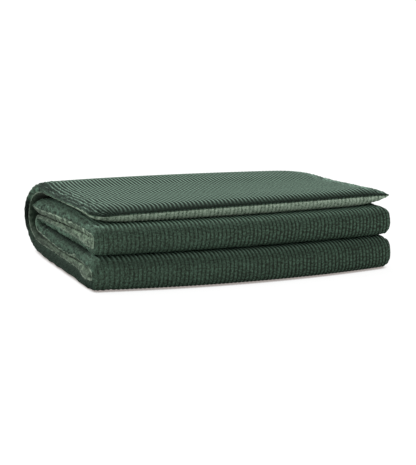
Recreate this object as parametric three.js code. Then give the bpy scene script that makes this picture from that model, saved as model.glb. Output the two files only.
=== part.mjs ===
// Bed runner: a padded strip of ribbed cloth, dark on its face and pale on its reverse, folded
// back and forth into five layers. Millimetres, +Z up, the front folds towards -Y, resting on z = 0.
import * as THREE from "three";

// Driving dimensions
const width = 700; // from side seam to side seam
const ribCount = 77; // ribs across the width, running along the cloth
const ribDepth = 3; // crest to groove
const faceHemRound = 40; // in from the flap's hem, where its face is padded to its full thickness
const reverseHemRound = 18; // the same on its reverse
const innerHemRound = 55; // in from the hem that is tucked inside the back wrap
const faceHemSquare = 2; // how squarely the face turns down to a hem
const cornerRadii = [36, 5]; // of the flap's left and right corners, seen from above
const cornerReaches = [64, 36]; // how far in from its side seam each corner pulls the ribs over
const panelGap = 0.4; // between the two panels, along the middle of the padding
const layerGap = 1.2; // between one layer and the next
const footFlare = 14; // how far the face of the bottom layer stands out past its side seams
const wrapFlares = [14, 11, 5, 10, 12, 12, 10, 5, 0]; // the same up round the back wrap, step by step
const aheadReach = 120; // in from a roll's left end, where its seam is no longer ahead
const jutReach = 70; // in from that end and back from the roll, where it no longer juts out
const tableDepths = [30, 250, 430]; // y of the three heights in each row of the layer table

// One row for each layer, from the top: which way its face looks, how far in from its left and its
// right side seam the face reaches its full thickness, the same for the reverse on both sides and
// how squarely it swells, and the heights of its side seam, of its upper surface and of its lower
// surface, each at the front, in the middle and at the back.
const layers = {
  flap: {
    faceUp: true, faceEdge: [45, 60], reverseEdge: 90, reverseSquare: 2,
    seam: [162, 154, 149], top: [174, 172, 168], base: [139, 147, 147],
  },
  second: {
    faceUp: true, faceEdge: [24, 30], reverseEdge: 12, reverseSquare: 3.4,
    seam: [124, 117, 106], top: [139, 147, 130], base: [113, 102, 93],
  },
  third: {
    faceUp: false, faceEdge: [16, 24], reverseEdge: 12, reverseSquare: 3.4,
    seam: [91, 92, 84], top: [113, 102, 93], base: [74, 71, 73],
  },
  fourth: {
    faceUp: true, faceEdge: [24, 30], reverseEdge: 12, reverseSquare: 3,
    seam: [52, 43, 53], top: [74, 71, 73], base: [46, 37, 43],
  },
  bottom: {
    faceUp: false, faceEdge: [8, 16], reverseEdge: 12, reverseSquare: 3.4,
    seam: [23, 25, 25], top: [46, 37, 43], base: [0, 0, 0],
  },
};

// One row for each fold, in the order of the cloth: the layers it joins, the y where it leaves each
// of them, how high its outermost point stands (0 at its lower layer, 1 at its upper one), the y
// that its outside, its seam and its inside reach there, how square its outside turns below and
// above that point and its seam all round, how the padding swells from its side seams, how far the
// middle of the width bows out past the ends, how far ahead of that y its seam comes and how far
// it juts out sideways, both at the left end, and the first and the last step round it with ribs.
const folds = {
  backWrap: {
    lower: "bottom", upper: "flap", fromLower: 425, fromUpper: 385, lean: 0.39,
    outside: 551, seam: 521, inside: 505, squareBelow: 2, squareAbove: 2, squareSeam: 2,
    faceEdge: [22, 100], reverseEdge: 30, reverseSquare: 2, bow: 14, ahead: 0, jut: 0,
    ribbedSteps: [1, 8],
  },
  lowerRoll: {
    lower: "bottom", upper: "fourth", fromLower: 18, fromUpper: 18, lean: 0.5,
    outside: -39, seam: -4, inside: 9, squareBelow: 3, squareAbove: 2.6, squareSeam: 4,
    faceEdge: [10, 28], reverseEdge: 12, reverseSquare: 3.4, bow: -41, ahead: 31, jut: 14,
    ribbedSteps: [0, 7],
  },
  innerFold: {
    lower: "fourth", upper: "third", fromLower: 425, fromUpper: 425, lean: 0.5,
    outside: 472, seam: 460, inside: 434, squareBelow: 2.4, squareAbove: 2.4, squareSeam: 2.4,
    faceEdge: [24, 24], reverseEdge: 20, reverseSquare: 2.4, bow: 4, ahead: 0, jut: 0,
    ribbedSteps: [],
  },
  upperRoll: {
    lower: "third", upper: "second", fromLower: 18, fromUpper: 18, lean: 0.5,
    outside: -27, seam: -6, inside: 7, squareBelow: 3, squareAbove: 2.6, squareSeam: 4,
    faceEdge: [14, 20], reverseEdge: 12, reverseSquare: 3.4, bow: -27, ahead: 18, jut: 6,
    ribbedSteps: [1, 8],
  },
};
const flapHem = { y: 12, bow: -24 };
// The flap's right side reaches this far out at its hem, less and less back to the given depth, and
// draws the ribs out with it over the given reach.
const flapReach = { out: 11, depth: 420, reach: 140 };
const innerHem = { y: 485, bow: 4 };

// Unevenness, as heights added at the left end, in the middle of the width and at the right end:
// to the top of the flap at the three table depths, and to the flap as a whole along its hem, where
// behind the hem its reverse is held back from most of that by the layer under it. The
// seam of the fourth layer is tucked up behind the given y near its left end, and a little down
// before it.
const crown = { front: [1, 4, 4], middle: [-1, -4, -6], back: [9, 7.4, -1.7] };
const hemLift = { reach: 60, heights: [-8, -1, -2], held: 0.85 };
const tuck = { y: 120, reach: 18, height: 6, width: 60, deepest: -0.3 };

// Rows across the cloth: distances in from the flap's hem, places along the other layers, and the
// steps round a fold. On the reverse, ribs are raised only under the flap's hem.
const flapRows = [0, 2, 7, 17, 34, 70, 120, 180, 238];
const bottomRows = [250, 110];
const fourthRows = [65, 112, 138, 165, 250, 340];
const thirdRows = [250, 90];
const secondRows = [90, 250, 360, 420, 455, 475];
const stepsRoundFold = 8;
const reverseRibReach = 30;

// Columns across the width: two to a rib, and the few that a plain row keeps, counted from an edge.
// Between the panels there are fewer still, but for the hemColumnRows nearest the flap's hem.
const columnCount = 2 * ribCount;
const plainColumns = [0, 1, 2, 3, 4, 6, 30, 54, 77];
const middleColumns = [0, 30, 54, 77];
const hemColumns = [0, 5, 10, 14, 18, 24, 30, 42, 54, 66, 77];
const hemColumnRows = 3;

const quarterTurn = Math.PI / 2;

function between(values, y) {
  const [front, middle, back] = tableDepths;
  const [a, b, c] = values;
  if (y < middle) return THREE.MathUtils.mapLinear(Math.max(y, front), front, middle, a, b);
  return THREE.MathUtils.mapLinear(Math.min(y, back), middle, back, b, c);
}

// A smooth curve over the width (-1 at the left end, 1 at the right) through three heights.
function overWidth([left, middle, right], across) {
  const bend = (left + right) / 2 - middle;
  return middle + ((right - left) / 2) * across + bend * across * across;
}

function layerHeights(name, y) {
  const layer = layers[name];
  return {
    top: between(layer.top, y) - layerGap,
    seam: between(layer.seam, y),
    base: between(layer.base, y),
  };
}

// A row of the cloth: where its seam, its face and its reverse lie at one place along its length.
function row(seam, face, reverse, bow, more) {
  const plain = {
    faceRibs: false, reverseRibs: false, flare: 0, inset: [0, 0], ahead: 0, jut: 0, tuck: 0,
    out: 0, crown: [0, 0, 0], lift: [0, 0, 0], lieFlat: 0,
  };
  const facing = new THREE.Vector2().subVectors(face, reverse).normalize();
  return { seam, face, reverse, facing, bow, ...plain, ...more };
}

function layerRow(name, y, bow) {
  const at = layerHeights(name, y);
  const top = new THREE.Vector2(y, at.top);
  const base = new THREE.Vector2(y, at.base);
  const seam = new THREE.Vector2(y, at.seam);
  const { faceUp, faceEdge, reverseEdge, reverseSquare } = layers[name];
  const edges = { faceEdge, reverseEdge, reverseSquare };
  return faceUp ? row(seam, top, base, bow, edges) : row(seam, base, top, bow, edges);
}

// The way from a lower layer (angle -90 degrees) past the outermost point (0) to the upper one.
function roundFold(angle, low, high, reach, lean, square) {
  const apex = THREE.MathUtils.lerp(low.y, high.y, lean);
  const end = angle < 0 ? low : high;
  const outward = Math.abs(Math.cos(angle)) ** (2 / square);
  const upright = Math.abs(Math.sin(angle)) ** (2 / square);
  const y = THREE.MathUtils.lerp(end.x, reach, outward);
  return new THREE.Vector2(y, THREE.MathUtils.lerp(apex, end.y, upright));
}

// The crown's heights at the left end, the middle and the right end of the width, at one depth.
function crownAt(y) {
  return [0, 1, 2].map((place) => {
    return between([crown.front[place], crown.middle[place], crown.back[place]], y);
  });
}

function foldRows(fold) {
  const lowHeights = layerHeights(fold.lower, fold.fromLower);
  const highHeights = layerHeights(fold.upper, fold.fromUpper);
  const low = (key) => new THREE.Vector2(fold.fromLower, lowHeights[key]);
  const high = (key) => new THREE.Vector2(fold.fromUpper, highHeights[key]);
  const faceOutside = !layers[fold.lower].faceUp;
  const isWrap = fold === folds.backWrap;
  const rows = [];
  for (let step = 0; step <= stepsRoundFold; step += 1) {
    const angle = THREE.MathUtils.lerp(-quarterTurn, quarterTurn, step / stepsRoundFold);
    const square = angle < 0 ? fold.squareBelow : fold.squareAbove;
    const { outside: out, seam: middle, inside: inner, lean } = fold;
    const outside = roundFold(angle, low("base"), high("top"), out, lean, square);
    const seam = roundFold(angle, low("seam"), high("seam"), middle, lean, fold.squareSeam);
    const inside = roundFold(angle, low("top"), high("base"), inner, lean, 2);
    const [firstRibbed, lastRibbed] = fold.ribbedSteps;
    const above = Math.max(Math.sin(angle), 0);
    const more = {
      faceEdge: fold.faceEdge,
      reverseEdge: fold.reverseEdge,
      reverseSquare: fold.reverseSquare,
      ahead: fold.ahead * Math.cos(angle),
      jut: fold.jut,
      faceRibs: step >= firstRibbed && step <= lastRibbed,
      flare: isWrap ? wrapFlares[step] : 0,
      crown: isWrap ? crownAt(fold.fromUpper).map((height) => height * above) : [0, 0, 0],
    };
    const [face, reverse] = faceOutside ? [outside, inside] : [inside, outside];
    rows.push(row(seam, face, reverse, fold.bow, more));
  }
  return rows;
}

// The rows of a layer between two folds; the bow changes evenly from the one to the other.
function layerRows(name, places, from, to) {
  return places.map((y) => {
    const bow = THREE.MathUtils.mapLinear(y, from.y, to.y, from.bow, to.bow);
    return layerRow(name, y, bow);
  });
}

// How far the left end of a layer still juts out at y, with the roll that it comes from.
function jutBehind(roll, y, reach) {
  return roll.jut * THREE.MathUtils.clamp(1 - (y - roll.fromUpper) / reach, 0, 1);
}

// Padding that swells from nothing at a seam to its full thickness at the given distance.
function swell(distance, reach, square = 2) {
  const left = 1 - Math.min(distance / reach, 1);
  return (1 - left ** square) ** (1 / square);
}

function thinTowardsHem(one, distance, faceReach, reverseReach) {
  one.face = one.seam.clone().lerp(one.face, swell(distance, faceReach, faceHemSquare));
  one.reverse = one.seam.clone().lerp(one.reverse, swell(distance, reverseReach));
}

function flapLayer(wrapTop) {
  const rows = layerRows("flap", flapRows.map((reach) => flapHem.y + reach), flapHem, wrapTop);
  rows.forEach((one, index) => {
    const reach = flapRows[index];
    thinTowardsHem(one, reach, faceHemRound, reverseHemRound);
    one.faceRibs = true;
    one.reverseRibs = reach <= reverseRibReach;
    one.inset = cornerRadii.map((radius) => {
      const left = Math.max(radius - reach, 0);
      return radius - Math.sqrt(radius ** 2 - left ** 2);
    });
    const lifted = Math.max(1 - reach / hemLift.reach, 0);
    one.lift = hemLift.heights.map((height) => height * lifted);
    one.lieFlat = hemLift.held * swell(reach, reverseHemRound);
    one.out = flapReach.out * Math.max(1 - reach / flapReach.depth, 0);
    one.crown = crownAt(one.seam.x).map((height) => height * swell(reach, faceHemRound));
  });
  return rows;
}

function clothRows() {
  const { backWrap, lowerRoll, innerFold, upperRoll } = folds;
  const wrapTop = { y: backWrap.fromUpper, bow: backWrap.bow };
  const wrapFoot = { y: backWrap.fromLower, bow: backWrap.bow };
  const lowerFront = { y: lowerRoll.fromLower, bow: lowerRoll.bow };
  const upperFront = { y: upperRoll.fromUpper, bow: upperRoll.bow };
  const inner = { y: innerFold.fromLower, bow: innerFold.bow };
  const bottom = layerRows("bottom", bottomRows, wrapFoot, lowerFront);
  bottom.forEach((one) => {
    one.flare = footFlare;
  });
  const fourth = layerRows("fourth", fourthRows, lowerFront, inner);
  fourth.forEach((one) => {
    const from = (one.seam.x - tuck.y) / tuck.reach;
    one.tuck = tuck.height * Math.max(from * Math.exp((1 - from * from) / 2), tuck.deepest);
    one.jut = jutBehind(lowerRoll, one.seam.x, jutReach);
  });
  const second = layerRows("second", [...secondRows, innerHem.y], upperFront, innerHem);
  second.forEach((one) => {
    thinTowardsHem(one, innerHem.y - one.seam.x, innerHemRound, innerHemRound);
  });
  return [
    ...flapLayer(wrapTop),
    ...foldRows(backWrap).reverse(),
    ...bottom,
    ...foldRows(lowerRoll),
    ...fourth,
    ...foldRows(innerFold),
    ...layerRows("third", thirdRows, inner, upperFront),
    ...foldRows(upperRoll),
    ...second,
  ];
}

function mirrored(columns) {
  const others = columns.map((column) => columnCount - column);
  return [...new Set([...columns, ...others])].sort((a, b) => a - b);
}

// A point of a panel: on its outer surface, or on the surface that it turns to the other panel.
function panelPoint(one, column, side, outer) {
  const fromLeft = (column * width) / columnCount;
  const fromEdge = Math.min(fromLeft, width - fromLeft);
  const inward = fromLeft < width / 2 ? 1 : -1;
  const across = (2 * fromLeft) / width - 1;
  const sideIndex = fromLeft < width / 2 ? 0 : 1;
  const corner = one.inset[sideIndex] * (1 - Math.min(fromEdge / cornerReaches[sideIndex], 1));
  const lift = overWidth(one.lift, across);
  const seam = one.seam.clone();
  seam.x -= one.ahead * Math.max(1 - fromLeft / aheadReach, 0) ** 2;
  seam.y += lift + one.tuck * Math.max(1 - fromLeft / tuck.width, 0);
  const surface = one[side].clone();
  surface.y += side === "face" ? lift + overWidth(one.crown, across) : lift * (1 - one.lieFlat);
  surface.sub(seam);
  const thickness = surface.length();
  const reach = side === "face" ? one.faceEdge[sideIndex] : one.reverseEdge;
  const square = side === "face" ? 2 : one.reverseSquare;
  const swelling = outer ? swell(fromEdge, reach, square) : 0;
  const apart = (side === "face" ? 0.5 : -0.5) * panelGap * (1 - swelling);
  const place = seam.addScaledVector(one.facing, apart);
  const cornered = fromLeft + inward * corner;
  let x = cornered - one.jut * Math.max(1 - fromLeft / jutReach, 0) ** 2;
  x += one.out * Math.max(1 - (width - fromLeft) / flapReach.reach, 0) ** 2;
  if (outer) {
    const full = thickness * swelling;
    const groove = one[`${side}Ribs`] && column % 2 === 0 ? Math.min(ribDepth, 0.4 * full) : 0;
    place.addScaledVector(surface.normalize(), full - groove);
    if (side === "face") x -= inward * one.flare * 2 * swelling * Math.sqrt(1 - swelling ** 2);
  }
  const bow = one.bow * (1 - ((2 * cornered) / width - 1) ** 2);
  return [x - width / 2, place.x + bow, place.y];
}

// One panel: its outer surface and its inner one, sewn together along the side seams and the hems.
function panelGeometry(rows, side) {
  const last = rows.length - 1;
  const all = Array.from({ length: columnCount + 1 }, (_, column) => column);
  const positions = [];
  const triangles = [];
  const known = new Map();
  const pointAt = (index, column, outer) => {
    const onRim = index === 0 || index === last || column === 0 || column === columnCount;
    const key = `${index} ${column} ${outer && !onRim}`;
    if (!known.has(key)) {
      known.set(key, positions.length / 3);
      positions.push(...panelPoint(rows[index], column, side, outer && !onRim));
    }
    return known.get(key);
  };
  const columnsOf = (index, outer) => {
    if (index === 0) return all;
    if (index === last) return mirrored(plainColumns);
    if (!outer) return mirrored(index <= hemColumnRows ? hemColumns : middleColumns);
    return rows[index][`${side}Ribs`] ? all : mirrored(plainColumns);
  };
  const addTriangle = (a, b, c, flip) => triangles.push(...(flip ? [a, c, b] : [a, b, c]));
  const stitch = (index, outer) => {
    const near = columnsOf(index, outer);
    const far = columnsOf(index + 1, outer);
    const flip = outer === (side === "reverse");
    let n = 0;
    let f = 0;
    while (n < near.length - 1 || f < far.length - 1) {
      const a = pointAt(index, near[n], outer);
      const b = pointAt(index + 1, far[f], outer);
      const alongNear = f === far.length - 1 || (n < near.length - 1 && near[n + 1] <= far[f + 1]);
      if (alongNear) {
        n += 1;
        addTriangle(a, pointAt(index, near[n], outer), b, flip);
      } else {
        f += 1;
        addTriangle(a, pointAt(index + 1, far[f], outer), b, flip);
      }
    }
  };
  for (let index = 0; index < last; index += 1) {
    stitch(index, true);
    stitch(index, false);
  }
  const geometry = new THREE.BufferGeometry();
  geometry.setAttribute("position", new THREE.Float32BufferAttribute(positions, 3));
  geometry.setIndex(triangles);
  geometry.computeVertexNormals();
  return geometry;
}

function panel(name, rows, side, color, roughness) {
  const material = new THREE.MeshStandardMaterial({ color, roughness, metalness: 0 });
  const mesh = new THREE.Mesh(panelGeometry(rows, side), material);
  mesh.name = name;
  return mesh;
}

const rows = clothRows();
const runner = new THREE.Group();
runner.add(panel("face_panel", rows, "face", 0x4a6053, 0.9));
runner.add(panel("reverse_panel", rows, "reverse", 0x8a9d89, 0.92));
const box = new THREE.Box3().setFromObject(runner);
const centre = box.getCenter(new THREE.Vector3());
runner.position.set(-centre.x, -centre.y, -box.min.z);

export default runner;
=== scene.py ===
import math

import bpy
import numpy as np
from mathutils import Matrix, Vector


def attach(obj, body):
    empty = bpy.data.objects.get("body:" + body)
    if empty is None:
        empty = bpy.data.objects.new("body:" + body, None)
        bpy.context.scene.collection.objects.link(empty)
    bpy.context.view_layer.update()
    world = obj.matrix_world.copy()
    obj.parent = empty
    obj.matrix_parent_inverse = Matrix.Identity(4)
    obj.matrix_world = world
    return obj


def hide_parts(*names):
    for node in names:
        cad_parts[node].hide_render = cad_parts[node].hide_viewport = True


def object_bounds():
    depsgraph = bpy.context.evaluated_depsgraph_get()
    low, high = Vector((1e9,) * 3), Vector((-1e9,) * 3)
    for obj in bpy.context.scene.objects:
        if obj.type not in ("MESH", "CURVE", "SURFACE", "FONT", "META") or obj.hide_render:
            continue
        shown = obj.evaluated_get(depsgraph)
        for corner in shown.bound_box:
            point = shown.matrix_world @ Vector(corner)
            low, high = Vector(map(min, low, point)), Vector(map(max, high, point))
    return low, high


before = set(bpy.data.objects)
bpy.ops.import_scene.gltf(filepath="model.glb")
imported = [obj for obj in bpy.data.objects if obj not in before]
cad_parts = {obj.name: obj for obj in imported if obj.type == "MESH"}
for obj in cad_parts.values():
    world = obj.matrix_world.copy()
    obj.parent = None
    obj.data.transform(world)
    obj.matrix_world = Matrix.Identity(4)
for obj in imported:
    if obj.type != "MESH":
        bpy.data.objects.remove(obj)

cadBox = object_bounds()
mm = 0.001

# The cloth: two padded panels sewn together, lying in five layers. Millimetres, y from the front.
runner = {
    "width": 700,
    "ribs": 77,
    "columnsPerRib": 6,
    "ribDepths": {"face": 2.8, "reverse": 1.6},
    "ribRound": 0.85,  # how round the ribs are between their grooves
    "ribShare": 0.4,  # the share of the cloth's thickness that a groove doesn't pass
    "faceRibsAtHem": {"share": 0.7, "reach": 63},
    "reverseRibReaches": [18, 63],  # from the hem: how far its ribs are full, and how far they go
    "faceSquare": 2,  # how squarely the face swells from its side seams and its hems
    "faceHemRound": 42,
    "reverseHemRound": 18,
    "innerHemRound": 55,
    "cornerRadii": [36, 5],  # of the flap's left and right corners, seen from above
    "cornerReaches": [64, 36],
    "panelGap": 0.4,
    "layerGap": 1.2,
    "thinnest": 0.5,  # cloth that is thinner stands off in its row's own direction
    "fullThickness": 8,  # from which puckers and soft places are full
    "footFlare": 14,  # how far the bottom layer's face stands out sideways
    "footFlareReach": 90,
    "wrapFlares": [14, 11, 5, 10, 12, 12, 10, 5, 0],  # the same for the wrap, from its foot up
    "tableDepths": [30, 250, 430],  # where the layers' heights are given
    "aheadReach": 120,  # over which the seam falls back from the front of a roll's left end
    "aheadRound": 0.7,  # how roundly a roll's front comes ahead
    "softRound": 0.5,  # and how roundly it softens
    "insideSquare": 2,  # of a fold's inside
    "jutReach": 70,  # over which a roll's left end that juts out is back in line
    "blendLength": 24,  # over which edge widths change from a layer to a fold
}

# Heights of each layer's side seam, top and base at the three table depths; how far in from its left
# and right side seams the face is at its full thickness; the same for the reverse, and how squarely.
layers = {
    "flap": {"faceUp": True, "faceEdge": [45, 60], "reverseEdge": 90, "reverseSquare": 2,
             "seam": [162, 154, 149], "top": [174, 172, 168], "base": [139, 147, 147]},
    "second": {"faceUp": True, "faceEdge": [24, 30], "reverseEdge": 12, "reverseSquare": 3.4,
               "seam": [124, 117, 106], "top": [139, 147, 130], "base": [113, 102, 93]},
    "third": {"faceUp": False, "faceEdge": [16, 24], "reverseEdge": 12, "reverseSquare": 3.4,
              "seam": [91, 92, 84], "top": [113, 102, 93], "base": [74, 71, 73]},
    "fourth": {"faceUp": True, "faceEdge": [24, 30], "reverseEdge": 12, "reverseSquare": 3,
               "seam": [52, 43, 53], "top": [74, 71, 73], "base": [46, 37, 43]},
    "bottom": {"faceUp": False, "faceEdge": [8, 16], "reverseEdge": 12, "reverseSquare": 3.4,
               "seam": [23, 25, 25], "top": [46, 37, 43], "base": [0, 0, 0]},
}

# The folds: the layers they join, where they leave them, how far out and how squarely the outside,
# the seam and the inside turn, and how far up the outermost point leans. A roll's left end comes
# ahead and juts out to the left. The bow moves the middle of the width back, and the spacing is the
# way from row to row.
folds = {
    "backWrap": {"lower": "bottom", "upper": "flap", "fromLower": 425, "fromUpper": 385,
                 "lean": 0.39, "outside": 551, "seam": 521, "inside": 505,
                 "squareBelow": 2, "squareAbove": 2, "squareSeam": 2, "faceEdge": [22, 100],
                 "reverseEdge": 30, "reverseSquare": 2, "bow": 14, "spacing": 9},
    "lowerRoll": {"lower": "bottom", "upper": "fourth", "fromLower": 18, "fromUpper": 18,
                  "ahead": 31, "jut": 14, "lean": 0.5, "outside": -39, "seam": -4, "inside": 9,
                  "squareBelow": 3, "squareAbove": 2.6, "squareSeam": 4, "faceEdge": [10, 28],
                  "reverseEdge": 12, "reverseSquare": 3.4, "bow": -41, "spacing": 5},
    "innerFold": {"lower": "fourth", "upper": "third", "fromLower": 425, "fromUpper": 425,
                  "lean": 0.5, "outside": 472, "seam": 460, "inside": 434,
                  "squareBelow": 2.4, "squareAbove": 2.4, "squareSeam": 2.4, "faceEdge": [24, 24],
                  "reverseEdge": 20, "reverseSquare": 2.4, "bow": 4, "spacing": 8},
    "upperRoll": {"lower": "third", "upper": "second", "fromLower": 18, "fromUpper": 18,
                  "ahead": 18, "jut": 6, "lean": 0.5, "outside": -27, "seam": -6, "inside": 7,
                  "squareBelow": 3, "squareAbove": 2.6, "squareSeam": 4, "faceEdge": [14, 20],
                  "reverseEdge": 12, "reverseSquare": 3.4, "bow": -27, "spacing": 5},
}
flapHem = {"y": 12, "bow": -24, "out": 11, "outDepth": 420, "outReach": 140}  # its right corner is out
innerHem = {"y": 485, "bow": 4}

# Unevenness: heights at the left end, the middle and the right end of the width, of the layers'
# tops and of the flap's hem, how far its reverse is held while the hem sinks, and a dip in the
# fourth layer's left seam.
crown = {"front": [1, 4, 4], "middle": [-1, -4, -6], "back": [9, 7.4, -1.7]}
hemLift = {"reach": 60, "heights": [-8, -1, -2], "held": 0.85}
tuck = {"y": 120, "reach": 18, "height": 6, "width": 60, "lowest": -0.3}

# Puckers that the side seams draw into the cloth, the slow wander of the ribs, and soft places.
puckers = {"heights": [1.9, 0.9], "reach": 26, "lengths": [8, 11, 15, 21], "directions": 4,
           "seeds": {"face": 5, "reverse": 6}}
ribBreaks = {"share": 0.45, "reach": 22, "lengths": [13, 19, 27], "directions": 4, "seed": 9,
             "lostOnRolls": 0.8}
seamWaves = {"height": 1.2, "reach": 30, "thickness": 30, "lengths": [21, 34, 55], "seeds": [1, 2]}
wander = {"height": 1.5, "edge": 40, "slowness": 3, "lengths": [60, 110, 190], "seed": 8}
softness = {"height": 0.8, "lengths": [110, 190, 310], "seed": 7}
rippleShape = {"drift": 0.5, "sway": 0.9, "swayRates": [0.2, 0.4], "peak": 1.2}

# How finely the panels are shaped.
sampling = {
    "hemSteps": [0, 0.8, 2, 4, 7, 11, 16, 22, 29, 37, 46, 56, 67, 79],
    "flapSpacing": 9,
    "wrapClearance": 4,
    "hiddenSpacing": 8,
    "bottomSpacing": 30,
    "endReach": 72,  # hidden rows have their ribs this far in from the side seams
    "shownFromFold": 60,  # and right across this near to a front fold
    "shownUnderFold": 20,
    "sparseSpacing": 36,
    "innerSpacing": 50,
    "foldSteps": 900,
}

width = runner["width"]
pitch = width / runner["ribs"]
leftmost = -folds["lowerRoll"]["jut"]
foremost = folds["lowerRoll"]["outside"] + folds["lowerRoll"]["bow"]
frameShift = (cadBox[0].x / mm - leftmost, cadBox[0].y / mm - foremost)  # from the tables to the frame


# A smooth curve through the heights at the three table depths, without overshoot.
def throughTable(values, y):
    front, middle, back = runner["tableDepths"]
    a, b, c = values
    nearSlope = (b - a) / (middle - front)
    farSlope = (c - b) / (back - middle)
    turns = nearSlope * farSlope <= 0
    middleSlope = 0 if turns else 2 * nearSlope * farSlope / (nearSlope + farSlope)
    y = np.clip(y, front, back)
    near = y < middle
    length = np.where(near, middle - front, back - middle)
    t = (y - np.where(near, front, middle)) / length
    low, high = np.where(near, a, b), np.where(near, b, c)
    slopeLow = np.where(near, nearSlope, middleSlope) * length
    slopeHigh = np.where(near, middleSlope, farSlope) * length
    ease = t * t * (3 - 2 * t)
    bend = t * (1 - t) * (slopeLow * (1 - t) - slopeHigh * t)
    return low + (high - low) * ease + bend


# A smooth curve over the width through three heights, for each row.
def overWidth(heights, across):
    left, middle, right = (heights[..., place, None] for place in range(3))
    return middle + (right - left) / 2 * across + ((left + right) / 2 - middle) * across**2


# From 1 at no distance to nothing at the reach.
def fading(distance, reach):
    return np.clip(1 - distance / reach, 0, 1)


# Padding that swells from nothing at a seam to its full thickness at the given distance.
def swell(distance, reach, square=2):
    return (1 - fading(distance, reach) ** square) ** (1 / square)


# Random lumps, alike in all directions over the cloth, between about -1 and 1.
def lumps(settings, seed, along, across):
    random = np.random.default_rng(seed)
    total = 0
    for length in settings["lengths"]:
        for _ in range(settings["directions"]):
            turn, phase = random.uniform(0, 2 * math.pi, 2)
            way = along * math.cos(turn) + across * math.sin(turn)
            total = total + np.sin(2 * math.pi * way / length + phase)
    return total / math.sqrt(len(settings["lengths"]) * settings["directions"])


# A gentle random wave along the cloth that drifts across it, between about -1 and 1.
def ripple(settings, seed, along, across):
    random = np.random.default_rng(seed)
    total = 0
    for length in settings["lengths"]:
        drift = random.uniform(-rippleShape["drift"], rippleShape["drift"]) / length
        phase = random.uniform(0, 2 * math.pi)
        rate = random.uniform(*rippleShape["swayRates"])
        sway = rippleShape["sway"] * np.sin(along * rate * 2 * math.pi / length + phase)
        total = total + np.sin(2 * math.pi * (along / length + across * drift) + phase + sway)
    return total / math.sqrt(len(settings["lengths"])) / rippleShape["peak"]


def crownAt(y):
    places = [[heights[place] for heights in crown.values()] for place in range(3)]
    return np.stack([throughTable(values, y) for values in places], axis=1)


def layerHeights(name, y):
    layer = layers[name]
    heights = {key: throughTable(layer[key], y) for key in ("top", "seam", "base")}
    heights["top"] = heights["top"] - runner["layerGap"]
    return heights


def point(y, z):
    return np.stack([np.broadcast_to(y, np.shape(z)), z], axis=-1)


# A stretch of the cloth, as rows: where its seam, face and reverse lie, and what shapes them.
def stretch(seam, face, reverse, bow, edges, **more):
    count = len(seam)
    thick = face - reverse
    rows = {key: np.zeros(count) for key in ("flare", "ahead", "tuck", "jut", "out", "lieFlat",
                                             "reverseRibs", "soft")}
    rows.update({
        "seam": seam, "face": face, "reverse": reverse, "bow": np.broadcast_to(bow, count),
        "facing": thick / np.linalg.norm(thick, axis=1, keepdims=True),
        "faceEdge": np.tile(np.array(edges["faceEdge"], float), (count, 1)),
        "reverseEdge": np.full(count, float(edges["reverseEdge"])),
        "reverseSquare": np.full(count, float(edges["reverseSquare"])),
        "inset": np.zeros((count, 2)), "crown": np.zeros((count, 3)), "lift": np.zeros((count, 3)),
        "faceRibs": np.ones(count),
        "faceShown": np.zeros(count, bool), "reverseShown": np.zeros(count, bool),
    })
    rows.update(more)
    return rows


# The rows of a layer at the given depths; the bow changes evenly from one fold to the next.
def layerStretch(name, y, start, end):
    heights = layerHeights(name, y)
    top, base = point(y, heights["top"]), point(y, heights["base"])
    bow = start["bow"] + (end["bow"] - start["bow"]) * (y - start["y"]) / (end["y"] - start["y"])
    face, reverse = (top, base) if layers[name]["faceUp"] else (base, top)
    return stretch(point(y, heights["seam"]), face, reverse, bow, layers[name])


# The way from a lower layer (a quarter turn below) past the outermost point to the upper one.
def roundFold(angle, low, high, fromLow, fromHigh, reach, lean, square):
    below = angle < 0
    power = 2 / np.where(below, square[0], square[1])
    outward, upright = np.abs(np.cos(angle)) ** power, np.abs(np.sin(angle)) ** power
    start, end = np.where(below, fromLow, fromHigh), np.where(below, low, high)
    apex = low + (high - low) * lean
    return np.stack([start + (reach - start) * outward, apex + (end - apex) * upright], axis=-1)


def pathLength(points):
    steps = np.linalg.norm(np.diff(points, axis=0), axis=1)
    return np.concatenate([[0], np.cumsum(steps)])


# The rows of a fold, from the lower layer to the upper one, evenly spaced over its surfaces.
def foldStretch(name):
    fold = folds[name]
    low = layerHeights(fold["lower"], fold["fromLower"])
    high = layerHeights(fold["upper"], fold["fromUpper"])
    corners = [fold["squareBelow"], fold["squareAbove"]]
    insideCorners = [runner["insideSquare"]] * 2

    def turned(angle, lowKey, highKey, reachKey, square):
        return roundFold(angle, low[lowKey], high[highKey], fold["fromLower"], fold["fromUpper"],
                         fold[reachKey], fold["lean"], square)

    even = np.linspace(-math.pi / 2, math.pi / 2, sampling["foldSteps"])
    reach = pathLength(turned(even, "base", "top", "outside", corners))
    reach = reach + pathLength(turned(even, "top", "base", "inside", insideCorners))
    count = round(reach[-1] / 2 / fold["spacing"])
    angle = np.interp(np.linspace(0, reach[-1], count + 1), reach, even)
    outside = turned(angle, "base", "top", "outside", corners)
    seam = turned(angle, "seam", "seam", "seam", [fold["squareSeam"]] * 2)
    inside = turned(angle, "top", "base", "inside", insideCorners)
    faceOutside = not layers[fold["lower"]]["faceUp"]
    face, reverse = (outside, inside) if faceOutside else (inside, outside)
    more = {
        "ahead": fold.get("ahead", 0) * np.cos(angle) ** runner["aheadRound"],
        "jut": np.full(count + 1, float(fold.get("jut", 0))),
    }
    if name == "backWrap":
        places = np.linspace(-math.pi / 2, math.pi / 2, len(runner["wrapFlares"]))
        more["flare"] = np.interp(angle, places, runner["wrapFlares"])
        more["crown"] = np.maximum(np.sin(angle), 0)[:, None] * crownAt(np.array([fold["fromUpper"]]))
    if faceOutside:
        more["faceShown"] = np.full(count + 1, True)
        more["soft"] = np.cos(angle) ** runner["softRound"]
    return stretch(seam, face, reverse, fold["bow"], fold, **more)


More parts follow.
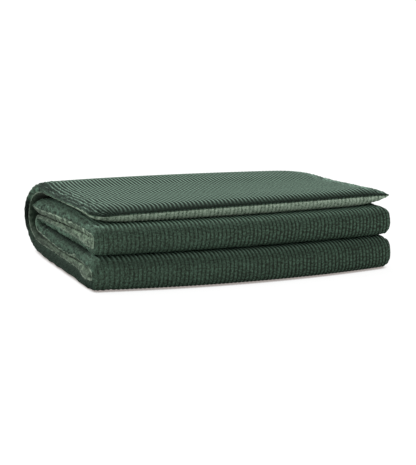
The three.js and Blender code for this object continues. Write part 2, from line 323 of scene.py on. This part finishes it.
def backwards(rows):
    return {key: value[::-1] for key, value in rows.items()}


def thinTowardsHem(rows, distance, faceReach, reverseReach):
    face = swell(distance, faceReach, runner["faceSquare"])[:, None]
    reverse = swell(distance, reverseReach)[:, None]
    rows["face"] = rows["seam"] + (rows["face"] - rows["seam"]) * face
    rows["reverse"] = rows["seam"] + (rows["reverse"] - rows["seam"]) * reverse


# The flap from its hem to the wrap, with its rounded corners and its thinning, uneven hem.
def flapStretch(wrapTop):
    steps = sampling["hemSteps"]
    last = wrapTop["y"] - flapHem["y"] - sampling["wrapClearance"]
    reach = np.array(steps + list(np.arange(steps[-1], last, sampling["flapSpacing"])[1:]), float)
    rows = layerStretch("flap", flapHem["y"] + reach, flapHem, wrapTop)
    thinTowardsHem(rows, reach, runner["faceHemRound"], runner["reverseHemRound"])
    radii = np.array(runner["cornerRadii"], float)
    left = np.maximum(radii - reach[:, None], 0)
    rows["inset"] = radii - np.sqrt(radii**2 - left**2)
    rows["out"] = flapHem["out"] * fading(reach, flapHem["outDepth"])
    rows["lift"] = fading(reach, hemLift["reach"])[:, None] * np.array(hemLift["heights"], float)
    rows["lieFlat"] = hemLift["held"] * swell(reach, runner["reverseHemRound"])
    rows["soft"] = swell(reach, runner["faceHemRound"])
    rows["crown"] = crownAt(rows["seam"][:, 0]) * rows["soft"][:, None]
    share = runner["faceRibsAtHem"]["share"]
    rows["faceRibs"] = share + (1 - share) * swell(reach, runner["faceRibsAtHem"]["reach"])
    rows["reverseRibs"] = np.interp(reach, runner["reverseRibReaches"], [1, 0])
    rows["faceShown"] = np.full(len(reach), True)
    rows["reverseShown"] = reach < runner["reverseRibReaches"][1]
    return rows


# The whole cloth from the flap's hem to the hem inside the wrap.
def clothRows():
    wrap, lower, inner, upper = folds.values()
    wrapTop = {"y": wrap["fromUpper"], "bow": wrap["bow"]}
    wrapFoot = {"y": wrap["fromLower"], "bow": wrap["bow"]}
    lowerFront = {"y": lower["fromLower"], "bow": lower["bow"]}
    upperFront = {"y": upper["fromUpper"], "bow": upper["bow"]}
    innerBack = {"y": inner["fromLower"], "bow": inner["bow"]}
    shown, shownUnder = sampling["shownFromFold"], sampling["shownUnderFold"]

    def between(start, end, spacing):
        count = max(round(abs(end - start) / spacing), 2)
        return np.linspace(start, end, count + 1)[1:-1]

    def jutting(roll, depths, front):
        return roll["jut"] * fading(depths - front["y"], runner["jutReach"])

    depths = between(wrapFoot["y"], lowerFront["y"], sampling["bottomSpacing"])
    bottom = layerStretch("bottom", depths, wrapFoot, lowerFront)
    atFoot = fading(depths - lowerFront["y"], runner["footFlareReach"])
    bottom["flare"] = runner["footFlare"] * (1 - atFoot)
    bottom["jut"] = lower["jut"] * atFoot

    depths = between(lowerFront["y"], innerBack["y"], sampling["hiddenSpacing"])
    fourth = layerStretch("fourth", depths, lowerFront, innerBack)
    fromTuck = (depths - tuck["y"]) / tuck["reach"]
    pressed = fromTuck * np.exp((1 - fromTuck**2) / 2)
    fourth["tuck"] = tuck["height"] * np.maximum(pressed, tuck["lowest"])
    fourth["jut"] = jutting(lower, depths, lowerFront)
    fourth["faceShown"] = depths - lowerFront["y"] < shown

    depths = depths[::-1]
    third = layerStretch("third", depths, innerBack, upperFront)
    third["jut"] = jutting(upper, depths, upperFront)
    third["faceShown"] = depths - lowerFront["y"] < shownUnder

    depths = between(upperFront["y"], innerHem["y"], sampling["hiddenSpacing"])
    fromHem = sampling["hemSteps"][::-1]
    depths = np.array([y for y in depths if innerHem["y"] - y > fromHem[0]] +
                      [innerHem["y"] - step for step in fromHem])
    second = layerStretch("second", depths, upperFront, innerHem)
    second["jut"] = jutting(upper, depths, upperFront)
    second["faceShown"] = depths - upperFront["y"] < shown
    thinTowardsHem(second, innerHem["y"] - depths, runner["innerHemRound"], runner["innerHemRound"])

    parts = [flapStretch(wrapTop), backwards(foldStretch("backWrap")), bottom,
             foldStretch("lowerRoll"), fourth, foldStretch("innerFold"), third,
             foldStretch("upperRoll"), second]
    rows = {key: np.concatenate([part[key] for part in parts]) for key in parts[0]}
    rows["along"] = pathLength(rows["seam"])
    rows["faceAlong"] = pathLength(rows["face"])
    rows["reverseAlong"] = pathLength(rows["reverse"])
    near = rows["along"][:, None] - rows["along"]
    weights = np.exp(-0.5 * (near / runner["blendLength"]) ** 2)
    weights = weights / weights.sum(axis=1, keepdims=True)
    for key in ("faceEdge", "reverseEdge", "reverseSquare", "flare", "jut", "soft"):
        rows[key] = weights @ rows[key]
    return rows


# The seam line of every row at every column, with its small waves near the side seams.
def seamPoints(rows, x, lift):
    seam = np.repeat(rows["seam"][:, None, :], len(x), axis=1)
    seam[..., 0] -= rows["ahead"][:, None] * fading(x, runner["aheadReach"]) ** 2
    seam[..., 1] += lift + rows["tuck"][:, None] * fading(x, tuck["width"])
    waves = [ripple(seamWaves, seed, rows["along"][:, None], 0) for seed in seamWaves["seeds"]]
    thick = np.linalg.norm(rows["face"] - rows["reverse"], axis=1)[:, None]
    height = seamWaves["height"] * np.clip(thick / seamWaves["thickness"], 0, 1)
    height = height * np.exp(-np.minimum(x, width - x) / seamWaves["reach"])
    seam[..., 1] += height * np.where(x < width / 2, *waves)
    return seam


# How far the outer surface stands off: the padding less the grooves, with puckers and soft places.
def outerHeights(rows, side, x, full):
    along = rows["along"][:, None]
    fromEdge = np.minimum(x, width - x)
    broken = lumps(ribBreaks, ribBreaks["seed"], along, x) * np.exp(-fromEdge / ribBreaks["reach"])
    onRoll = np.clip(rows["ahead"] / folds["upperRoll"]["ahead"], 0, 1)[:, None]
    broken = ribBreaks["share"] * broken * (1 - ribBreaks["lostOnRolls"] * onRoll)
    groove = 1 - np.abs(np.sin(math.pi * (x / pitch + broken))) ** runner["ribRound"]
    depth = runner["ribDepths"][side] * rows[side + "Ribs"][:, None]
    ribs = np.minimum(depth, runner["ribShare"] * full) * groove
    fade = np.clip(full / runner["fullThickness"], 0, 1)
    pucker = lumps(puckers, puckers["seeds"][side], along, x) * np.where(x < width / 2, *puckers["heights"])
    heights = full - ribs + pucker * np.exp(-fromEdge / puckers["reach"]) * fade
    if side == "face":
        soft = softness["height"] * ripple(softness, softness["seed"], along, x)
        heights = heights + soft * rows["soft"][:, None] * fade
    return heights


# Every point of a panel: its outer surface, or the surface that it turns to the other panel.
def panelPoints(rows, side, x, outer):
    fromEdge = np.minimum(x, width - x)
    isLeft = x < width / 2
    inward = np.where(isLeft, 1, -1)
    across = 2 * x / width - 1
    lift = overWidth(rows["lift"], across)
    seam = seamPoints(rows, x, lift)
    surface = np.repeat(rows[side][:, None, :], len(x), axis=1)
    facing = rows["facing"][:, None, :]
    if side == "face":
        surface[..., 1] += lift + overWidth(rows["crown"], across)
        edges = np.where(isLeft, rows["faceEdge"][:, :1], rows["faceEdge"][:, 1:])
        square = runner["faceSquare"]
    else:
        surface[..., 1] += lift * (1 - rows["lieFlat"][:, None])
        edges = rows["reverseEdge"][:, None]
        square = rows["reverseSquare"][:, None]
        facing = -facing
    swelling = swell(fromEdge, edges, square) if outer else np.zeros((len(surface), len(x)))
    apart = 0.5 * runner["panelGap"] * (1 - swelling)
    place = seam + facing * apart[..., None]
    inset = np.where(isLeft, rows["inset"][:, :1], rows["inset"][:, 1:])
    cornered = x + inward * inset * fading(fromEdge, np.where(isLeft, *runner["cornerReaches"]))
    placeX = cornered - rows["jut"][:, None] * fading(x, runner["jutReach"]) ** 2
    placeX = placeX + rows["out"][:, None] * fading(width - x, flapHem["outReach"]) ** 2
    if outer:
        surface = surface - seam
        thickness = np.linalg.norm(surface, axis=2)
        thinnest = runner["thinnest"]
        outward = surface / np.maximum(thickness, thinnest)[..., None]
        outward = np.where(thickness[..., None] > thinnest, outward, facing)
        place = place + outward * outerHeights(rows, side, x, thickness * swelling)[..., None]
        slip = ripple(wander, wander["seed"], rows["along"][:, None], x / wander["slowness"])
        placeX = placeX + wander["height"] * slip * np.clip(fromEdge / wander["edge"], 0, 1)
    if outer and side == "face":
        bulge = 2 * swelling * np.sqrt(1 - swelling**2)
        placeX = placeX - inward * rows["flare"][:, None] * bulge
    y = place[..., 0] + rows["bow"][:, None] * (1 - (2 * cornered / width - 1) ** 2)
    z = np.maximum(place[..., 1], 0)
    return np.stack([placeX + frameShift[0], y + frameShift[1], z], axis=-1) * mm


# Faces between two rows of vertices whose columns may differ.
def stitch(near, nearColumns, far, farColumns, flip):
    if np.array_equal(nearColumns, farColumns):
        quads = np.stack([near[:-1], near[1:], far[1:], far[:-1]], axis=1)
        return (quads[:, ::-1] if flip else quads).tolist()
    made = []
    n, f = 0, 0
    while n < len(near) - 1 or f < len(far) - 1:
        a, b = near[n], far[f]
        if f == len(far) - 1 or (n < len(near) - 1 and nearColumns[n + 1] <= farColumns[f + 1]):
            n += 1
            corner = near[n]
        else:
            f += 1
            corner = far[f]
        made.append([a, b, corner] if flip else [a, corner, b])
    return made


# One panel as a closed mesh, with a map of where each point lies on the flat cloth.
def buildPanel(name, rows, side):
    count = len(rows["along"])
    perRib = runner["columnsPerRib"]
    columns = np.arange(runner["ribs"] * perRib + 1)
    last = columns[-1]
    x = columns * pitch / perRib
    fromEdge = np.minimum(x, width - x)

    def spaced(spacing):
        step = round(spacing / pitch) * perRib
        return (columns % step == perRib // 2) | (columns == 0) | (columns == last)

    ends = columns[(fromEdge <= sampling["endReach"]) | spaced(sampling["sparseSpacing"])]
    sparse = columns[spaced(sampling["innerSpacing"])]
    outerColumns = [columns if shown else ends for shown in rows[side + "Shown"]]
    innerColumns = [sparse] * count
    outerColumns[0] = innerColumns[0] = columns
    outerColumns[-1] = innerColumns[-1] = ends
    outerPoints = panelPoints(rows, side, x, True)
    innerPoints = panelPoints(rows, side, x, False)
    points, spots, known = [], [], {}

    def vertices(row, chosen, outer):
        ids = []
        for column in chosen:
            onRim = row in (0, count - 1) or column in (0, last)
            key = (row, column, outer and not onRim)
            if key not in known:
                known[key] = len(points)
                points.append((outerPoints if key[2] else innerPoints)[row, column])
                spots.append((x[column] * mm, rows[side + "Along"][row] * mm))
            ids.append(known[key])
        return np.array(ids)

    faces = []
    for outer, chosen in ((True, outerColumns), (False, innerColumns)):
        flip = outer == (side == "reverse")
        ids = [vertices(row, chosen[row], outer) for row in range(count)]
        for row in range(count - 1):
            faces += stitch(ids[row], chosen[row], ids[row + 1], chosen[row + 1], flip)
    mesh = bpy.data.meshes.new(name)
    mesh.from_pydata([tuple(p) for p in points], [], faces)
    mesh.polygons.foreach_set("use_smooth", [True] * len(mesh.polygons))
    flat = mesh.uv_layers.new(name="cloth")
    corners = np.zeros(len(mesh.loops), int)
    mesh.loops.foreach_get("vertex_index", corners)
    flat.data.foreach_set("uv", np.array(spots, np.float32)[corners].ravel())
    panel = bpy.data.objects.new(name, mesh)
    bpy.context.scene.collection.objects.link(panel)
    triangles = sum(len(face) - 2 for face in faces)
    print(f"{name}: {count} rows, {len(points)} vertices, {triangles} triangles")
    return panel


# A node's output; arithmetic on it adds Math nodes.
class Signal:
    def __init__(self, finish, socket):
        self.finish = finish
        self.socket = socket

    def maths(self, operation, *others):
        return self.finish.node("Math", {"operation": operation}, dict(enumerate((self, *others))))

    def reflected(self, operation, other):
        return self.finish.node("Math", {"operation": operation}, {0: other, 1: self})

    def __add__(self, other):
        return self.maths("ADD", other)

    def __sub__(self, other):
        return self.maths("SUBTRACT", other)

    def __rsub__(self, other):
        return self.reflected("SUBTRACT", other)

    def __mul__(self, other):
        return self.maths("MULTIPLY", other)

    def __truediv__(self, other):
        return self.maths("DIVIDE", other)

    def __rtruediv__(self, other):
        return self.reflected("DIVIDE", other)

    def __pow__(self, other):
        return self.maths("POWER", other)

    def __rpow__(self, other):
        return self.reflected("POWER", other)

    __radd__ = __add__
    __rmul__ = __mul__

    def sine(self):
        return self.maths("SINE")

    def size(self):
        return self.maths("ABSOLUTE")

    def clamped(self):
        return self.finish.node("Clamp", {}, {"Value": self})

    # From 0 at the first value to 1 at the second.
    def ramp(self, start, end):
        return ((self - start) / (end - start)).clamped()

    # From 1 at nothing to 0 at the reach.
    def fade(self, reach):
        return (1 - self / reach).clamped()


# One material and the nodes in it.
class Finish:
    def __init__(self, name):
        self.material = bpy.data.materials.new(name)
        self.material.use_nodes = True
        self.tree = self.material.node_tree
        self.tree.nodes.clear()

    def node(self, kind, settings=None, inputs=None, output=0):
        made = self.tree.nodes.new("ShaderNode" + kind)
        for key, value in (settings or {}).items():
            setattr(made, key, value)
        for key, value in (inputs or {}).items():
            if isinstance(value, Signal):
                self.tree.links.new(value.socket, made.inputs[key])
            else:
                made.inputs[key].default_value = value
        return Signal(self, made.outputs[output]) if made.outputs else None

    def parts(self, vector):
        split = self.node("SeparateXYZ", {}, {"Vector": vector})
        return [Signal(self, socket) for socket in split.socket.node.outputs]

    def place(self, x, y, z=0):
        return self.node("CombineXYZ", {}, {"X": x, "Y": y, "Z": z})

    # Metres over the flat cloth: from the nearer side seam, across it and along it.
    def onCloth(self):
        across, along, _ = self.parts(self.node("UVMap", {"uv_map": "cloth"}))
        return across.maths("MINIMUM", width * mm - across), across, along

    def inObject(self):
        return self.node("TexCoord", output="Object")

    # Places in the object, drawn out along the layers from front to back.
    def streaks(self, share):
        x, y, z = self.parts(self.inObject())
        return self.place(x, y * share, z)

    # Random values about nought; the grain is the noise's scale, detail and roughness.
    def noise(self, vector, grain):
        scale, detail, roughness = grain
        inputs = {"Vector": vector, "Scale": scale, "Detail": detail, "Roughness": roughness}
        return self.node("TexNoise", {"noise_dimensions": "3D"}, inputs) - 0.5

    def blend(self, share, first, second):
        inputs = {0: share, 6: first, 7: second}  # a Mix node's colours are its seventh and eighth sockets
        return self.node("Mix", {"data_type": "RGBA"}, inputs, 2)

    # Colours laid one over the other, each by its own share.
    def coated(self, cloth, base, coats):
        colour = paint(cloth[base])
        for name, share in coats:
            colour = self.blend(share, colour, paint(cloth[name]))
        return colour

    def dress(self, cloth, colour, height):
        bump = {"Strength": cloth["bumpStrength"], "Distance": cloth["bumpDistance"], "Height": height}
        shader = self.node("BsdfPrincipled", {}, {
            "Base Color": colour, "Normal": self.node("Bump", {}, bump),
            "Roughness": cloth["roughness"], "Specular IOR Level": cloth["specular"],
            "Sheen Weight": cloth["sheen"], "Sheen Roughness": cloth["sheenRoughness"],
            "Sheen Tint": paint(cloth["sheenTint"]),
        })
        self.node("OutputMaterial", {}, {"Surface": shader})


# A colour as the eye gives it, 0 to 255, made linear.
def paint(values):
    shares = [value / 255 for value in values]
    linear = [share / 12.92 if share < 0.04045 else ((share + 0.055) / 1.055) ** 2.4 for share in shares]
    return (*linear, 1)


# The ribbed face. Places are metres in the object or on the flat cloth; a pair of them says where a
# share begins and where it is full. A grain is a noise's scale, detail and roughness.
faceCloth = {
    "groove": (44, 51, 43),
    "crest": (78, 101, 85),
    "fleckAndHighlight": (100, 134, 115),
    "topHighlight": (126, 153, 137),
    "seam": (124, 146, 126),
    "shade": (16, 27, 20),
    # the darkest colour, laid on as painted shade
    "darkestShade": (10, 15, 12),
    "bendGrain": (90, 2, 0.5),
    "waverGrain": (70, 2, 0.5),
    "crinkleGrain": (120, 4, 0.7),
    "fleckGrain": (260, 3, 0.7),
    "patchGrain": (14, 3, 0.5),
    "streakShare": 0.45,
    "crumpleReach": 0.04,
    "rollFronts": (-0.2, -0.25),
    "smoothOnRolls": 0.85,
    "flapLengths": (0.5, 0.4167),
    "wrapDepths": (0.24, 0.2733),
    # the ribs, with stitches across them and strands between them
    "stitchLength": 0.0085,
    "stitchWaver": 2.5,
    "stitchDepth": 0.5,
    "stitchLossCrumpled": 0.1,
    "stitchLossLevel": 0.5,
    "levelNarrowness": 8,
    "crinklePuff": 1.6,
    "puffPower": 1.3,
    "strands": (0.74, 0.4),  # between the ribs, and more on them
    # how strongly the ribs show: at the left seam, more for each metre, less where the cloth turns down
    "crestLeft": 0.45,
    "crestPerMetre": 2.1,
    "crestLoss": (2, 4),  # everywhere, and more on the flap
    # what makes the cloth lighter or darker: random flecks and patches, painted light and shade on the
    # crinkles, and painted light near the side seams
    "fleckShade": 3,
    "patchShade": 0.35,
    "crinkleShade": 4.5,
    "crumpleShade": 0.14,
    "fleckRange": (0.0625, 0.4792),
    "raisedHighlightRange": (0.05, 0.25),
    "sunkenShadeRange": (-0.0357, -0.1786),
    "sunkenShadeShare": 0.8,
    # the top: painted shade between its ribs, more on the far side, and a painted highlight on the crests
    # that face up
    "gapShare": 1.5,
    "gapCrumpled": 0.3,
    "farSides": (0.56, 0.76),
    "gapFarSide": 1.25,
    "topHighlightNarrowness": 14,
    "topHighlightShare": 0.9,
    # painted shade on slopes between the tops and the fronts
    "slopeShares": (1.8, 4.2),  # dark slopes everywhere, and more on the flap
    # the seams' pale line, and painted shade between layers and near the floor
    "seamReach": 0.0006,
    "seamRange": (-0.1, 0.1),
    "seamShare": 0.7,
    "innerGapHeight": 0.072,
    "innerGapReaches": (0.026, 0.006),
    "innerGapDepths": (-0.24, -0.1567),
    "innerGapEdges": (0.003, 0.013),
    "innerGapShare": 0.85,
    "footReach": 0.008,
    "footShare": 0.8,
    "lowHeights": (0.065, 0.015),
    "lowCrumpled": 1.6,
    "bumpStrength": 0.8,
    "bumpDistance": 0.0012,
    "fleckBump": 0.12,
    "crinkleBump": 5,
    "roughness": 0.88,
    "specular": 0.05,
    "sheen": 0.08,
    "sheenRoughness": 0.4,
    "sheenTint": (165, 222, 190),
}


def faceFinish():
    cloth = faceCloth
    finish = Finish("ribbedFace")
    fromEdge, across, along = finish.onCloth()
    solid = finish.inObject()
    _, depth, height = finish.parts(solid)
    _, backward, upward = finish.parts(finish.node("NewGeometry", output="Normal"))
    facingUp = upward.maths("MAXIMUM", 0)
    level = facingUp ** cloth["levelNarrowness"]
    turning = facingUp ** 2 * (1 - facingUp)
    onFlap = along.ramp(*cloth["flapLengths"])
    onWrap = depth.ramp(*cloth["wrapDepths"])
    onRoll = (backward * -1).clamped() * depth.ramp(*cloth["rollFronts"])
    crumpled = fromEdge.fade(cloth["crumpleReach"]) * (1 - onRoll * cloth["smoothOnRolls"])
    crinkles = finish.noise(finish.streaks(cloth["streakShare"]), cloth["crinkleGrain"]) * crumpled
    flecks = finish.noise(solid, cloth["fleckGrain"])
    patches = finish.noise(finish.place(across, along), cloth["patchGrain"])
    waver = finish.noise(solid, cloth["waverGrain"])

    ribs = across / (pitch * mm)
    bend = finish.noise(solid, cloth["bendGrain"]) * crumpled
    crest = ((ribs + bend) * math.pi).sine().size()
    start = finish.node("TexWhiteNoise", {"noise_dimensions": "1D"}, {"W": ribs.maths("FLOOR")})
    steps = along / cloth["stitchLength"] + start + (waver + 0.5) * cloth["stitchWaver"]
    stitches = (steps * (2 * math.pi)).sine() * 0.5 + 0.5
    stitches = stitches * (cloth["stitchDepth"] - crumpled * cloth["stitchLossCrumpled"])
    stitches = stitches * (1 - level * cloth["stitchLossLevel"])
    puff = crest * (1 - stitches) + crinkles * cloth["crinklePuff"]
    strandBase, strandDepth = cloth["strands"]
    strands = (ribs * (2 * math.pi)).sine().size() * strandDepth + strandBase

    loss, lossOnFlap = cloth["crestLoss"]
    crestShare = across * cloth["crestPerMetre"] + cloth["crestLeft"]
    crestShare = crestShare * (1 - turning * (onFlap * lossOnFlap + loss)).clamped()
    shade = ((puff.clamped() ** cloth["puffPower"] - 0.5) * crestShare + 0.5) * strands
    shade = shade + flecks * cloth["fleckShade"] + patches * cloth["patchShade"]
    # the crinkles add painted light and shade, and the cloth near the side seams is painted lighter
    shade = shade + crinkles * cloth["crinkleShade"] + crumpled * cloth["crumpleShade"]

    # Painted shade on the flap's top: between the ribs, near the side seams and more on the far side.
    farSideShade = across.ramp(*cloth["farSides"]) * cloth["gapFarSide"]
    topShade = (1 - crest ** 2) * cloth["gapShare"] + crumpled * cloth["gapCrumpled"] + farSideShade
    # a painted highlight on the crests that face up
    paintedTopLight = facingUp ** cloth["topHighlightNarrowness"] * cloth["topHighlightShare"]
    slopeShare, slopeShareOnFlap = cloth["slopeShares"]
    # painted shade on slopes between the tops and the fronts, more on the flap
    slopeShade = turning * (onFlap * slopeShareOnFlap + slopeShare)
    seamLine = fromEdge.fade(cloth["seamReach"]) * waver.ramp(*cloth["seamRange"])
    innerGap = (height - cloth["innerGapHeight"]).size().ramp(*cloth["innerGapReaches"])
    innerGap = innerGap * depth.ramp(*cloth["innerGapDepths"]) * (1 - onWrap)
    innerGap = innerGap * fromEdge.ramp(*cloth["innerGapEdges"])
    # painted shade low down near the side seams
    low = height.ramp(*cloth["lowHeights"]) * (crumpled ** 2 * cloth["lowCrumpled"]).clamped()
    # Painted shade lies between the top's ribs, on slopes that turn down, on the wrap's side, between
    # layers and at the floor; a painted highlight lies on the tops that face up.
    colour = finish.coated(cloth, "groove", [
        ("crest", shade.clamped()),
        ("fleckAndHighlight", flecks.ramp(*cloth["fleckRange"])),
        # raised crinkles get a painted highlight, sunken ones painted shade
        ("fleckAndHighlight", crinkles.ramp(*cloth["raisedHighlightRange"])),
        ("shade", crinkles.ramp(*cloth["sunkenShadeRange"]) * cloth["sunkenShadeShare"]),
        ("darkestShade", (topShade * level * onFlap).clamped()),
        ("topHighlight", paintedTopLight * crest ** 2),
        ("darkestShade", slopeShade.clamped()),
        ("seam", seamLine * cloth["seamShare"]),
        # painted shade on the wrap's side, between the layers and near the floor
        ("darkestShade", onWrap * crumpled * (1 - facingUp)),
        ("darkestShade", innerGap * cloth["innerGapShare"]),
        ("darkestShade", height.fade(cloth["footReach"]) * cloth["footShare"]),
        ("shade", low),
    ])
    finish.dress(cloth, colour, puff + flecks * cloth["fleckBump"] + crinkles * cloth["crinkleBump"])
    print("face finished")
    return finish.material


# The pale reverse, with places, pairs and grains as for the face.
reverseCloth = {
    "dark": (52, 70, 54),
    "light": (121, 141, 119),
    "creaseShade": (30, 42, 33),
    "hemLight": (184, 203, 183),
    "edge": (148, 167, 147),
    "weaveGrain": (330, 3, 0.7),
    "patchGrain": (120, 4, 0.6),
    "creaseGrain": (60, 2, 0.5),
    "streakShare": 0.4,
    "crumpleReach": 0.03,
    "crumpleGain": 5,
    "flapLengths": (0.5, 0.4167),
    # what makes the cloth lighter
    "baseShade": 0.3,
    "weaveShade": 3,
    "crestShade": 0.25,
    "crumpleShade": 0.05,
    # painted shade in creases, deep in the folds, near the floor and between the panels
    "creaseWidths": (0.0455, 0.0833),  # in the colour, and in the bump
    "creaseShares": (0.5, 0.3),  # everywhere, and more at the side seams
    "deepDepths": (-0.182, 0.273),
    "deepShare": 0.85,
    "floorReach": 0.075,
    "floorShare": 0.6,
    "betweenEdges": (0.00375, 0.01),
    "betweenShare": 0.8,
    # painted light on the hem band, and the pale edge of the side seams
    "hemLengths": (0.07, 0.02),
    "hemAcross": (0.6, 0.4),  # at the left seam, and more towards the right one
    "hemCrest": 0.25,
    "hemShade": 0.7,
    "edgeReaches": (0.0006, 0.0045),  # everywhere, and more on the flap
    "edgeRange": (-0.14, 0.06),
    "bumpStrength": 0.7,
    "bumpDistance": 0.0006,
    "crestBump": 0.6,
    "roughness": 0.9,
    "specular": 0.05,
    "sheen": 0.08,
    "sheenRoughness": 0.5,
    "sheenTint": (225, 235, 222),
}


def reverseFinish():
    cloth = reverseCloth
    finish = Finish("paleReverse")
    fromEdge, across, along = finish.onCloth()
    solid = finish.inObject()
    _, depth, height = finish.parts(solid)
    onFlap = along.ramp(*cloth["flapLengths"])
    nearHem = along.ramp(*cloth["hemLengths"])
    crumpled = fromEdge.fade(cloth["crumpleReach"])
    streaks = finish.streaks(cloth["streakShare"])
    weave = finish.noise(solid, cloth["weaveGrain"])
    patches = finish.noise(streaks, cloth["patchGrain"])
    crumples = patches * (crumpled * cloth["crumpleGain"] + 1)
    creases = finish.noise(streaks, cloth["creaseGrain"]).size()
    crest = ((across / (pitch * mm)).maths("FRACT") * math.pi).sine()

    shade = weave * cloth["weaveShade"] + crumples + crest * cloth["crestShade"]
    shade = (shade + crumpled * cloth["crumpleShade"] + cloth["baseShade"]).clamped()
    creaseWidth, creaseBump = cloth["creaseWidths"]
    creaseShare, creaseCrumpled = cloth["creaseShares"]
    creased = creases.fade(creaseWidth) * (crumpled * creaseCrumpled + creaseShare)
    hemLeft, hemMore = cloth["hemAcross"]
    # painted light on the hem band, stronger towards the right seam
    hemLight = nearHem * (across / (width * mm) * hemMore + hemLeft)
    hemLight = hemLight * (crest * cloth["hemCrest"] + shade * cloth["hemShade"])
    edgeReach, edgeReachOnFlap = cloth["edgeReaches"]
    edge = fromEdge.fade(onFlap * edgeReachOnFlap + edgeReach) * patches.ramp(*cloth["edgeRange"])
    between = fromEdge.ramp(*cloth["betweenEdges"]) * (1 - onFlap)
    colour = finish.coated(cloth, "dark", [
        ("light", shade),
        # painted shade in creases, deep in the folds, near the floor and between the panels
        ("creaseShade", creased),
        ("creaseShade", depth.ramp(*cloth["deepDepths"]) * (1 - nearHem) * cloth["deepShare"]),
        ("creaseShade", height.fade(cloth["floorReach"]) * cloth["floorShare"]),
        ("hemLight", hemLight),
        ("creaseShade", between * cloth["betweenShare"]),
        ("edge", edge),
    ])
    relief = weave + (patches + 0.5) * (crumpled * cloth["crumpleGain"] + 1) + crest * cloth["crestBump"]
    finish.dress(cloth, colour, relief + (1 - creases.fade(creaseBump)))
    print("reverse finished")
    return finish.material


def dressRunner():
    rows = clothRows()
    face = buildPanel("ribbed_face", rows, "face")
    reverse = buildPanel("pale_reverse", rows, "reverse")
    face.data.materials.append(faceFinish())
    reverse.data.materials.append(reverseFinish())
    panels = [(face, "face_panel", "face_cloth"), (reverse, "reverse_panel", "reverse_cloth")]
    for piece, node, slotName in panels:
        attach(piece, "root")
        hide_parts(node)
    length = rows["along"][-1] * mm
    print(f"cloth dressed: {width * mm:.3f} m wide, {length:.3f} m along the seam")


studio = {
    "floorSize": 60,
    "bounceColour": (0.6, 0.6, 0.6, 1),
    "floorColour": (0.1, 0.1, 0.1, 1),
    "floorGlow": 0.93,
    "glowColour": (255, 255, 255),
    "contactShadowColour": (165, 158, 154),
    "contactSamples": 16,
    "contactReach": 0.011,
    "contactRange": (1, 0.2),
    "contactPower": 3,
    "skyColour": (1, 1, 1, 1),
    "skyStrength": 0.85,
    "sunStrength": 3.4,
    "sunSpread": 60,
    "sunTurn": (-50, 0, 16),
}


# The floor lights the cloth as a mid grey and is seen as white, with a painted contact shadow close to the
# cloth.
def floorFinish():
    finish = Finish("paleFloor")
    occlusion = finish.node("AmbientOcclusion", {"samples": studio["contactSamples"]},
                            {"Distance": studio["contactReach"]}, "AO")
    # a painted contact shadow on the floor close to the cloth
    contact = occlusion.ramp(*studio["contactRange"]) ** studio["contactPower"]
    glow = finish.coated(studio, "glowColour", [("contactShadowColour", contact)])
    bounce = finish.node("BsdfPrincipled", {}, {
        "Base Color": studio["bounceColour"], "Specular IOR Level": 0.0,
    })
    seen = finish.node("BsdfPrincipled", {}, {
        "Base Color": studio["floorColour"], "Specular IOR Level": 0.0,
        "Emission Color": glow, "Emission Strength": studio["floorGlow"],
    })
    shader = finish.node("MixShader", {}, {0: finish.node("LightPath"), 1: bounce, 2: seen})
    finish.node("OutputMaterial", {}, {"Surface": shader})
    return finish.material


def buildStudio():
    bpy.ops.mesh.primitive_plane_add(size=studio["floorSize"])
    floor = bpy.context.object
    floor.name = "floor"
    floor.data.materials.append(floorFinish())
    scene = bpy.context.scene
    scene.world = bpy.data.worlds.new("studio")
    scene.world.use_nodes = True
    background = scene.world.node_tree.nodes["Background"]
    background.inputs["Color"].default_value = studio["skyColour"]
    background.inputs["Strength"].default_value = studio["skyStrength"]
    sun = bpy.data.objects.new("overhead", bpy.data.lights.new("overhead", "SUN"))
    sun.data.energy = studio["sunStrength"]
    sun.data.angle = math.radians(studio["sunSpread"])
    sun.rotation_euler = [math.radians(turn) for turn in studio["sunTurn"]]
    scene.collection.objects.link(sun)
    scene.view_settings.view_transform = "Standard"
    print("studio built")


# The angles are degrees, the aim and distance millimetres in the frame, and the shift pixels of the
# picture's longer side.
camera = {
    "azimuth": -21.45,
    "elevation": 10.31,
    "aim": (1.6, 8.8, 80.85),
    "distance": 3622.5,
    "lens": 119.7,
    "pixels": 465,
    "shift": (4.1, -10.3),
}


def buildCamera():
    azimuth, elevation = math.radians(camera["azimuth"]), math.radians(camera["elevation"])
    back = Vector((math.sin(azimuth) * math.cos(elevation),
                   -math.cos(azimuth) * math.cos(elevation), math.sin(elevation)))
    made = bpy.data.objects.new("camera", bpy.data.cameras.new("camera"))
    made.location = (Vector(camera["aim"]) + back * camera["distance"]) * mm
    made.rotation_euler = back.to_track_quat("Z", "Y").to_euler()
    made.data.lens = camera["lens"]
    made.data.shift_x, made.data.shift_y = (shift / camera["pixels"] for shift in camera["shift"])
    bpy.context.scene.collection.objects.link(made)
    bpy.context.scene.camera = made
    print("camera placed")


buildCamera()
dressRunner()
buildStudio()
